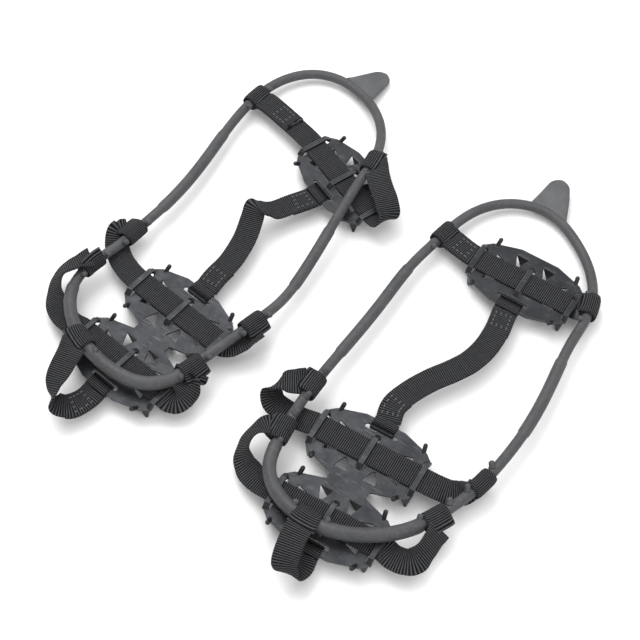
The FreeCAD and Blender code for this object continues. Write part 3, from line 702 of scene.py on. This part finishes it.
def zone(ring, distance, ends, ramp):
    """1 inside a stretch of the ring, 0 outside, with ramps at its ends."""
    start, end = ring.nearest(ends[0]), ring.nearest(ends[1])
    if end < start:
        end += ring.length
    d = distance
    while d < start - ring.length / 4:
        d += ring.length
    return smooth((d - start) / ramp + 0.5) * smooth((end - d) / ramp + 0.5)


RING_FACETS = 28
RING_STEP = 1.3
SIDE_RAMP = 2.0             # run over which the ring grows into a side stretch
ARCH_RAMP = 5.0
# Mouldings of the ring: height, angle and width. Angles go from outward through up.
LIP = (0.55, 5.75, 0.2)     # along the toe arch
GROOVE = (0.22, 6.13, 0.14)
SEAM = (0.10, 0.09)         # on the inner side; height and width


def ring_piece(lay, ring):
    """The whole rubber ring with its thicker stretches, arch lip and strap knobs."""
    shell = Shell()
    count = int(ring.length / RING_STEP)
    rows, uvs = [], []
    for i in range(count):
        d = ring.length * i / count
        _, out, up = ring.axes(d)
        centre = ring.point(d)
        side = max(zone(ring, d, s, SIDE_RAMP) for s in lay["sides"])
        arch = zone(ring, d, lay["toe_arch"], ARCH_RAMP)
        radius = RING_RADIUS + (SIDE_RADIUS - RING_RADIUS) * side
        radius = max(radius, RING_RADIUS + (TOE_RADIUS - RING_RADIUS) * arch)
        row = []
        for k in range(RING_FACETS):
            a = 2 * pi * k / RING_FACETS
            lip = LIP[0] * arch * np.exp(-((a - LIP[1]) / LIP[2]) ** 2)
            groove = GROOVE[0] * arch * np.exp(-((a - GROOVE[1]) / GROOVE[2]) ** 2)
            seam = SEAM[0] * (1 - arch) * np.exp(-(sin(a / 2 - pi / 2) / SEAM[1]) ** 2)
            r = radius + lip - groove + seam
            row.append(centre + (out * cos(a) + up * sin(a)) * r)
        rows.append(row)
        uvs.append([(d * MM, k / RING_FACETS) for k in range(RING_FACETS)])
    shell.grid(rows, uvs, closed=True)
    for where in knob_places(lay, ring):
        add_knob(shell, lay, ring, where)
    obj = mesh_object(lay, "rubber_ring", shell)
    obj.data.materials.append(RUBBER)
    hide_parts(lay["name"] + "_ring_toe", lay["name"] + "_ring_heel")
    bend_at_fold(obj)


def loop_places(lay):
    """Places of all the webbing loops on the ring."""
    places = [lay[name][side] for name in ("heel_strap", "rear_strap", "front_strap")
              for side in ("left", "right")]
    return places + [lay["toe_strap"]["ring"]]


def knob_places(lay, ring):
    """One knob on each side of every loop."""
    return [ring.nearest(where) + step for where in loop_places(lay)
            for step in (-KNOB_OFFSET, KNOB_OFFSET)]


KNOB_FACETS = 16
KNOB_PROFILE = (            # radius, reach from the ring's centre line
    (2.5, 2.4), (2.15, 3.0), (1.9, 3.8), (1.85, 4.9),
    (1.7, 5.6), (1.25, 6.15), (0.6, 6.42), (0.08, 6.5),
)


def add_knob(shell, lay, ring, distance):
    """Round-headed peg with a filleted foot, leaning towards the knobs' common aim."""
    centre = ring.point(distance)
    aim = np.array([lay["knob_aim"][0] - centre[0], lay["knob_aim"][1] - centre[1], 0.0])
    lean = unit(unit(aim) + np.array([0, 0, KNOB_LEAN]))
    side = unit(np.cross(lean, ring.along(distance)))
    other = np.cross(lean, side)
    rows = []
    for radius, reach in KNOB_PROFILE:
        rows.append([centre + lean * reach + (side * cos(a) + other * sin(a)) * radius
                     for a in np.linspace(0, 2 * pi, KNOB_FACETS, endpoint=False)])
    shell.grid(rows, [[(0, 0)] * KNOB_FACETS for _ in rows])


def bend_at_fold(obj):
    """Bake the piece's placement into its mesh."""
    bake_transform(obj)


TAB_START = 2.0             # where the tab's blade starts, inside the ring
TAB_ROWS = 34
TAB_FACETS = 28
TAB_ROUND = 7.4             # radius of the tip
TAB_LAST = 0.9995           # share of the reach at the last row, so that it isn't a point
TAB_ROOT = 0.75             # thickness at the ring, as a share of the ring's
TAB_THIN_RUN = 7.0          # run over which the tab thins
TAB_SAG_RUN = 14.0          # run over which its rows lose the ring's curve
TAB_SQUARE = 0.35           # exponents of the section: across, and up
TAB_CROWN = 0.6


def tab_half_width(x, reach):
    """Straight sides that run tangent into the round tip."""
    centre = reach - TAB_ROUND
    length, base = centre - TAB_START, TAB_BASE / 2
    slope = atan2(base, length) - np.arcsin(TAB_ROUND / np.hypot(length, base))
    if x < centre + TAB_ROUND * sin(slope):
        return base - (x - TAB_START) * np.tan(slope)
    return max(TAB_ROUND ** 2 - (x - centre) ** 2, 0.0) ** 0.5


def tab_piece(lay, ring):
    """Tapered rubber pull tab, thick where it leaves the ring and thin at its round tip."""
    root = ring.nearest(lay["tab_at"])
    centre = ring.point(root)
    head, tilt = radians(lay["tab_heading"]), radians(lay["tab_tilt"])
    out = np.array([cos(head) * cos(tilt), sin(head) * cos(tilt), sin(tilt)])
    side = np.array([-sin(head), cos(head), 0.0])
    up = np.cross(out, side)
    reach = TAB_LENGTH + RING_RADIUS
    shell = Shell()
    rows = []
    for i in range(TAB_ROWS + 1):
        x = TAB_START + (reach - TAB_START) * TAB_LAST * sin(pi / 2 * i / TAB_ROWS)
        half = tab_half_width(x, reach)
        at_root = 1 - smooth((x - TAB_START) / TAB_THIN_RUN)
        thick = TAB_THICK / 2 + (RING_RADIUS * TAB_ROOT - TAB_THICK / 2) * at_root
        fade = 1 - smooth((x - TAB_START) / TAB_SAG_RUN)
        row = []
        for k in range(TAB_FACETS):
            a = 2 * pi * k / TAB_FACETS
            across = np.sign(cos(a)) * abs(cos(a)) ** TAB_SQUARE * half
            rise = np.sign(sin(a)) * abs(sin(a)) ** TAB_CROWN * thick
            sag = ring_sag(ring, root, across, out, centre)
            row.append(centre + out * (x + sag * fade) + side * across + up * rise)
        rows.append(row)
    shell.grid(rows, [[(0, 0)] * TAB_FACETS for _ in rows])
    obj = mesh_object(lay, "heel_tab", shell)
    obj.data.materials.append(TAB_RUBBER)
    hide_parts(lay["name"] + "_pull_tab")
    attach(obj, lay["name"] + "_tab")


def ring_sag(ring, root, across, out, centre):
    """How far the ring curves away from the tab's line at a place beside its middle."""
    side_point = ring.point(root - across)
    return float((side_point - centre).dot(out))


# ---- the webbing --------------------------------------------------------

WEB_EDGE = ((0.0, 0.35), (0.35, 0.85), (1.1, 1.0))      # in from the edge, share of the thickness
WEB_FLAT = 3.0                                          # the flat middle starts here
WEB_FLAT_POINTS = 4


def web_section(centre, along, wide):
    """Section of webbing with woven, slightly rounded edges."""
    side = np.cross(along, wide)
    h, t = WEB_WIDTH / 2, WEB_THICK / 2
    profile = [(inset - h, -share * t) for inset, share in WEB_EDGE]
    profile += [(x, -t) for x in np.linspace(WEB_FLAT - h, h - WEB_FLAT, WEB_FLAT_POINTS)]
    profile += [(h - inset, -share * t) for inset, share in WEB_EDGE[::-1]]
    profile += [(-x, -y) for x, y in profile]
    points = [centre + wide * x + side * y for x, y in profile]
    return points, [x for x, _ in profile]


def add_ribbon(shell, points, wides, closed=False):
    """Webbing swept along points, with width directions."""
    rows, uvs = [], []
    count = len(points)
    reach = 0.0
    for i in range(count):
        if closed:
            along = unit(points[(i + 1) % count] - points[i - 1])
        else:
            along = unit(points[min(i + 1, count - 1)] - points[max(i - 1, 0)])
        if i:
            reach += np.linalg.norm(points[i] - points[i - 1])
        row, across = web_section(points[i], along, wides[i])
        rows.append(row)
        uvs.append([(reach * MM, x * MM) for x in across])
    shell.grid(rows, uvs, closed=closed)


LAP_END = 5.5               # lap beyond the last stitch
LAP_LIFT = WEB_THICK - 0.08  # the two layers press together a little
LAP_FROM_ABOVE = 3.0        # from the strap's end to the start of a lap on top
LAP_FROM_BELOW = 0.5
LAP_STEP = 1.0
STITCH_COLUMNS = 4
RAGGED = (0.0, 0.9, 0.2, 1.5, 0.4, 1.9, 0.8, 2.4, 0.3, 1.1)     # frayed yarns of a lap's end


def lap_side(name):
    """1 where the second layer lies on the strap, -1 where it lies beneath."""
    return 1.0 if name == "heel_strap" else -1.0


def add_laps(shell, lay, name, path):
    """Second layers at a strap's sewn ends."""
    for sewn, start, way in lay["stitched"]:
        if sewn == name:
            add_lap(shell, path, start, way, lap_side(name))


def add_lap(shell, path, start, way, side):
    """Second layer of a sewn end; a lap on top has a frayed end."""
    first = LAP_FROM_ABOVE if side > 0 else LAP_FROM_BELOW
    stitched = start if way > 0 else 1 - start
    last = stitched * path.length + (STITCH_COLUMNS - 1) * STITCH_PITCH + LAP_END
    points, wides = [], []
    for reach in np.arange(first, last, LAP_STEP):
        point, _, wide, up = path.at(reach if way > 0 else path.length - reach)
        points.append(point + up * side * LAP_LIFT)
        wides.append(wide)
    before = len(shell.verts)
    add_ribbon(shell, points, wides)
    if side > 0:
        fray(shell, (len(shell.verts) - before) // len(points), unit(points[-1] - points[-2]))


def fray(shell, section, along):
    """Push the points of the last section out unevenly, alike on its two faces."""
    first = len(shell.verts) - section
    for k in range(section):
        across = min(k, section - 1 - k)
        pushed = np.array(shell.verts[first + k]) + along * RAGGED[across % len(RAGGED)]
        shell.verts[first + k] = tuple(pushed)


SLEEVE_NOSE = 4.2           # how far the loop's two layers run together before the strap
INNER_NOSE = 0.55           # the inner layer's share of it
NOSE_BLUNT = 0.5            # cut off its point
SLEEVE_EDGE = 0.35          # rounding of the loop's two edges
SLEEVE_FACETS = 36
SLEEVE_RINGS = 8


def add_sleeve(shell, ring, where, toward):
    """Webbing loop round the ring that closes onto the strap on one side."""
    at = ring.nearest(where)
    inner = bore_at(ring, at)
    outer = inner + WEB_THICK
    rows_out, rows_in, uv_out, uv_in = [], [], [], []
    for i in range(SLEEVE_RINGS + 1):
        shift = WEB_WIDTH * (i / SLEEVE_RINGS - 0.5)
        _, out, up = ring.axes(at + shift)
        centre = ring.point(at + shift)
        nose = atan2(float(np.dot(toward, up)), float(np.dot(toward, out)))
        edge = SLEEVE_EDGE if i in (0, SLEEVE_RINGS) else 0.0
        layers = ((outer - edge, SLEEVE_NOSE, rows_out, uv_out),
                  (inner + edge, SLEEVE_NOSE * INNER_NOSE, rows_in, uv_in))
        for radius, reach, rows, uvs in layers:
            tip = radius + reach
            spread = np.arccos(radius / tip)
            row, uv = [], []
            for k in range(SLEEVE_FACETS):
                a = 2 * pi * k / SLEEVE_FACETS
                turn = abs((a + pi) % (2 * pi) - pi)
                r = radius if turn >= spread else radius / cos(turn - spread)
                r = min(r, tip - NOSE_BLUNT)
                row.append(centre + (out * cos(nose + a) + up * sin(nose + a)) * r)
                uv.append((a * radius * MM, shift * MM))
            rows.append(row)
            uvs.append(uv)
    shell.grid(rows_out + rows_in[::-1], uv_out + uv_in[::-1], closed=True)


LOOP_BEND = 0.7             # bend radius of the webbing at a plate's edges
LOOP_BEND_STEPS = 4


def add_slot_loop(shell, lay, name):
    """Webbing through a slot and round the plate's edge."""
    centre, turn, way = units(lay)[name]
    near = SLOT_INNER - WEB_THICK / 2
    far = HALF_DEPTH + EDGE_CLEAR + WEB_THICK / 2
    low = TOOTH_DROP - 2 * GAP - WEB_THICK / 2
    high = PLATE_TOP + 2 * GAP + WEB_THICK / 2
    near, far = near + LOOP_BEND, far - LOOP_BEND
    low, high = low + LOOP_BEND, high - LOOP_BEND
    corners = ((near, low, pi), (near, high, pi / 2), (far, high, 0.0), (far, low, -pi / 2))
    points = []
    for y, z, start in corners:
        for k in range(LOOP_BEND_STEPS + 1):
            a = start - k * pi / 2 / LOOP_BEND_STEPS
            dx, dy = turned(0, way * (y + LOOP_BEND * cos(a)), turn)
            points.append(np.array([centre[0] + dx, centre[1] + dy, z + LOOP_BEND * sin(a)]))
    ux, uy = turned(1, 0, turn)
    add_ribbon(shell, points, [np.array([ux, uy, 0.0])] * len(points), closed=True)


def web_object(lay, name, shell, *nodes):
    """Piece of webbing that stands for the given nodes."""
    obj = mesh_object(lay, name, shell)
    obj.data.materials.append(WEBBING)
    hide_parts(*[lay["name"] + "_" + node for node in nodes])
    return obj


def cross_piece(lay, ring, name, body):
    """Strap across the shoe with its loop at each end."""
    path = Path(cross_stations(lay, ring, name))
    shell = Shell()
    add_ribbon(shell, path.points, path.wides)
    add_laps(shell, lay, name, path)
    for side, end in (("left", path.points[0]), ("right", path.points[-1])):
        where = lay[name][side]
        add_sleeve(shell, ring, where, unit(end - ring.point(ring.nearest(where))))
    obj = web_object(lay, name.replace("_strap", "_webbing"), shell, name)
    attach(obj, lay["name"] + body)
    return path


def link_piece(lay):
    """Lengthwise strap between the two plates."""
    path = Path(link_stations(lay))
    shell = Shell()
    add_ribbon(shell, path.points, path.wides)
    add_laps(shell, lay, "link", path)
    add_slot_loop(shell, lay, "rear")
    add_slot_loop(shell, lay, "heel")
    obj = web_object(lay, "link_webbing", shell, "link_strap_toe", "link_strap_heel")
    bend_at_fold(obj)
    return path


def toe_piece(lay, ring):
    """Strap from the forefoot plate's front slot over to the toe arch."""
    path = Path(toe_stations(lay, ring))
    shell = Shell()
    add_ribbon(shell, path.points, path.wides)
    add_laps(shell, lay, "toe_strap", path)
    where = lay["toe_strap"]["ring"]
    add_sleeve(shell, ring, where, unit(path.points[-1] - ring.point(ring.nearest(where))))
    add_slot_loop(shell, lay, "front")
    obj = web_object(lay, "toe_webbing", shell, "toe_strap")
    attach(obj, lay["name"] + "_toe_half")
    return path


STITCH_FACETS = 8
STITCH_FLAT = 0.7           # height of the thread's section over its width
STITCH_SEAT = 0.12          # thread's middle above the webbing
STITCH_PROFILE = (          # along the stitch, radius, lift
    (-1.05, 0.12, -0.25), (-0.7, 0.32, 0.0), (0.0, 0.42, 0.12),
    (0.7, 0.32, 0.0), (1.05, 0.12, -0.25),
)


def add_stitch(shell, centre, along, wide, up):
    """One stitch: a short thread that dips at both ends."""
    rows = []
    for t, radius, lift in STITCH_PROFILE:
        middle = centre + along * t + up * lift
        rows.append([middle + (wide * cos(a) + up * sin(a) * STITCH_FLAT) * radius
                     for a in np.linspace(0, 2 * pi, STITCH_FACETS, endpoint=False)])
    shell.grid(rows, [[(0, 0)] * STITCH_FACETS for _ in rows])


def stitch_piece(lay, paths, name, start, way):
    """Box of stitches at a sewn end, open in its middle."""
    label = "link_heel" if name == "link" and way < 0 else name.replace("_strap", "")
    path = paths[name]
    surface = WEB_THICK / 2 + STITCH_SEAT + (LAP_LIFT if lap_side(name) > 0 else 0.0)
    shell = Shell()
    for column in range(STITCH_COLUMNS):
        for across in STITCH_ROWS:
            if 0 < column < STITCH_COLUMNS - 1 and abs(across) < max(STITCH_ROWS):
                continue
            point, along, wide, up = path.at(start * path.length + way * column * STITCH_PITCH)
            add_stitch(shell, point + wide * across + up * surface, along, wide, up)
    node = lay["name"] + "_stitching_" + label
    obj = mesh_object(lay, "thread_" + label, shell)
    obj.data.materials.append(THREAD)
    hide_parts(node)
    toe_side = node.endswith("_link") or node.endswith("_toe")
    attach(obj, lay["name"] + ("_toe_half" if toe_side else "_heel_half"))


# ---- the steel plates ---------------------------------------------------

def finish_plate(node):
    """A plate keeps its CAD mesh and gets the coated steel."""
    obj = frame["nodes"][node]
    obj.data.materials.clear()
    obj.data.materials.append(STEEL)


def build(lay):
    """All pieces of one cleat."""
    ring = Ring(lay["ring"])
    ring_piece(lay, ring)
    tab_piece(lay, ring)
    paths = {
        "heel_strap": cross_piece(lay, ring, "heel_strap", "_heel_half"),
        "rear_strap": cross_piece(lay, ring, "rear_strap", "_toe_half"),
        "front_strap": cross_piece(lay, ring, "front_strap", "_toe_half"),
        "link": link_piece(lay),
        "toe_strap": toe_piece(lay, ring),
    }
    for name, start, way in lay["stitched"]:
        stitch_piece(lay, paths, name, start, way)
    finish_plate(lay["name"] + "_heel_plate")
    finish_plate(lay["name"] + "_forefoot_plate")


# ---- stage --------------------------------------------------------------

# The view from the front and above, in metres and degrees.
VIEW_FROM = (0.2363, -0.3819, 0.7007)
VIEW_TO = (0.0030, -0.0174, 0.0)
VIEW_ANGLE = 26.52
NEAR_CLIP = 0.01
FLOOR_HALF = 3.0
SKY_STRENGTH = 0.62
AREA_LIGHTS = (             # name, place, size, power
    ("key", (-0.55, 0.35, 1.1), 0.9, 9.0),
    ("fill", (0.8, -0.5, 0.9), 1.0, 4.0),
    ("top", (0.0, 0.1, 1.4), 1.2, 7.0),
)


def aimed(obj, where, at):
    """Place an object and turn its -Z axis towards a point."""
    bpy.context.scene.collection.objects.link(obj)
    obj.location = where
    obj.rotation_euler = (Vector(at) - Vector(where)).to_track_quat("-Z", "Y").to_euler()
    return obj


def camera():
    """Camera that shows the whole pair."""
    data = bpy.data.cameras.new("camera")
    data.sensor_fit = "HORIZONTAL"
    data.angle = radians(VIEW_ANGLE)
    data.clip_start = NEAR_CLIP
    bpy.context.scene.camera = aimed(bpy.data.objects.new("camera", data), VIEW_FROM, VIEW_TO)


def area_light(name, where, size, power):
    """Round light that shines on the middle of the floor."""
    data = bpy.data.lights.new(name, "AREA")
    data.shape = "DISK"
    data.size = size
    data.energy = power
    aimed(bpy.data.objects.new(name, data), where, (0.0, 0.0, 0.0))


def floor():
    """Nearly white floor under the cleats."""
    mesh = bpy.data.meshes.new("floor")
    corners = [(x * FLOOR_HALF, y * FLOOR_HALF, 0) for x, y in ((-1, -1), (1, -1), (1, 1), (-1, 1))]
    mesh.from_pydata(corners, [], [(0, 1, 2, 3)])
    obj = bpy.data.objects.new("floor", mesh)
    bpy.context.scene.collection.objects.link(obj)
    n = Nodes("floor_paint")
    tone = n.mottle(n.noise(6.0, 2.0), FLOOR_TONES)
    n.link(tone, n.surface.inputs["Base Color"])
    n.surface.inputs["Roughness"].default_value = 0.9
    n.surface.inputs["Specular IOR Level"].default_value = 0.1
    obj.data.materials.append(n.material)


def lights():
    """White surroundings and soft lights, with colours shown as they are."""
    world = bpy.data.worlds.new("studio")
    world.use_nodes = True
    sky = world.node_tree.nodes["Background"]
    sky.inputs["Color"].default_value = (1.0, 1.0, 1.0, 1.0)
    sky.inputs["Strength"].default_value = SKY_STRENGTH
    bpy.context.scene.world = world
    bpy.context.scene.view_settings.view_transform = "Standard"
    for name, where, size, power in AREA_LIGHTS:
        area_light(name, where, size, power)


for lay in (RIGHT, LEFT):
    build(lay)
floor()
lights()
camera()
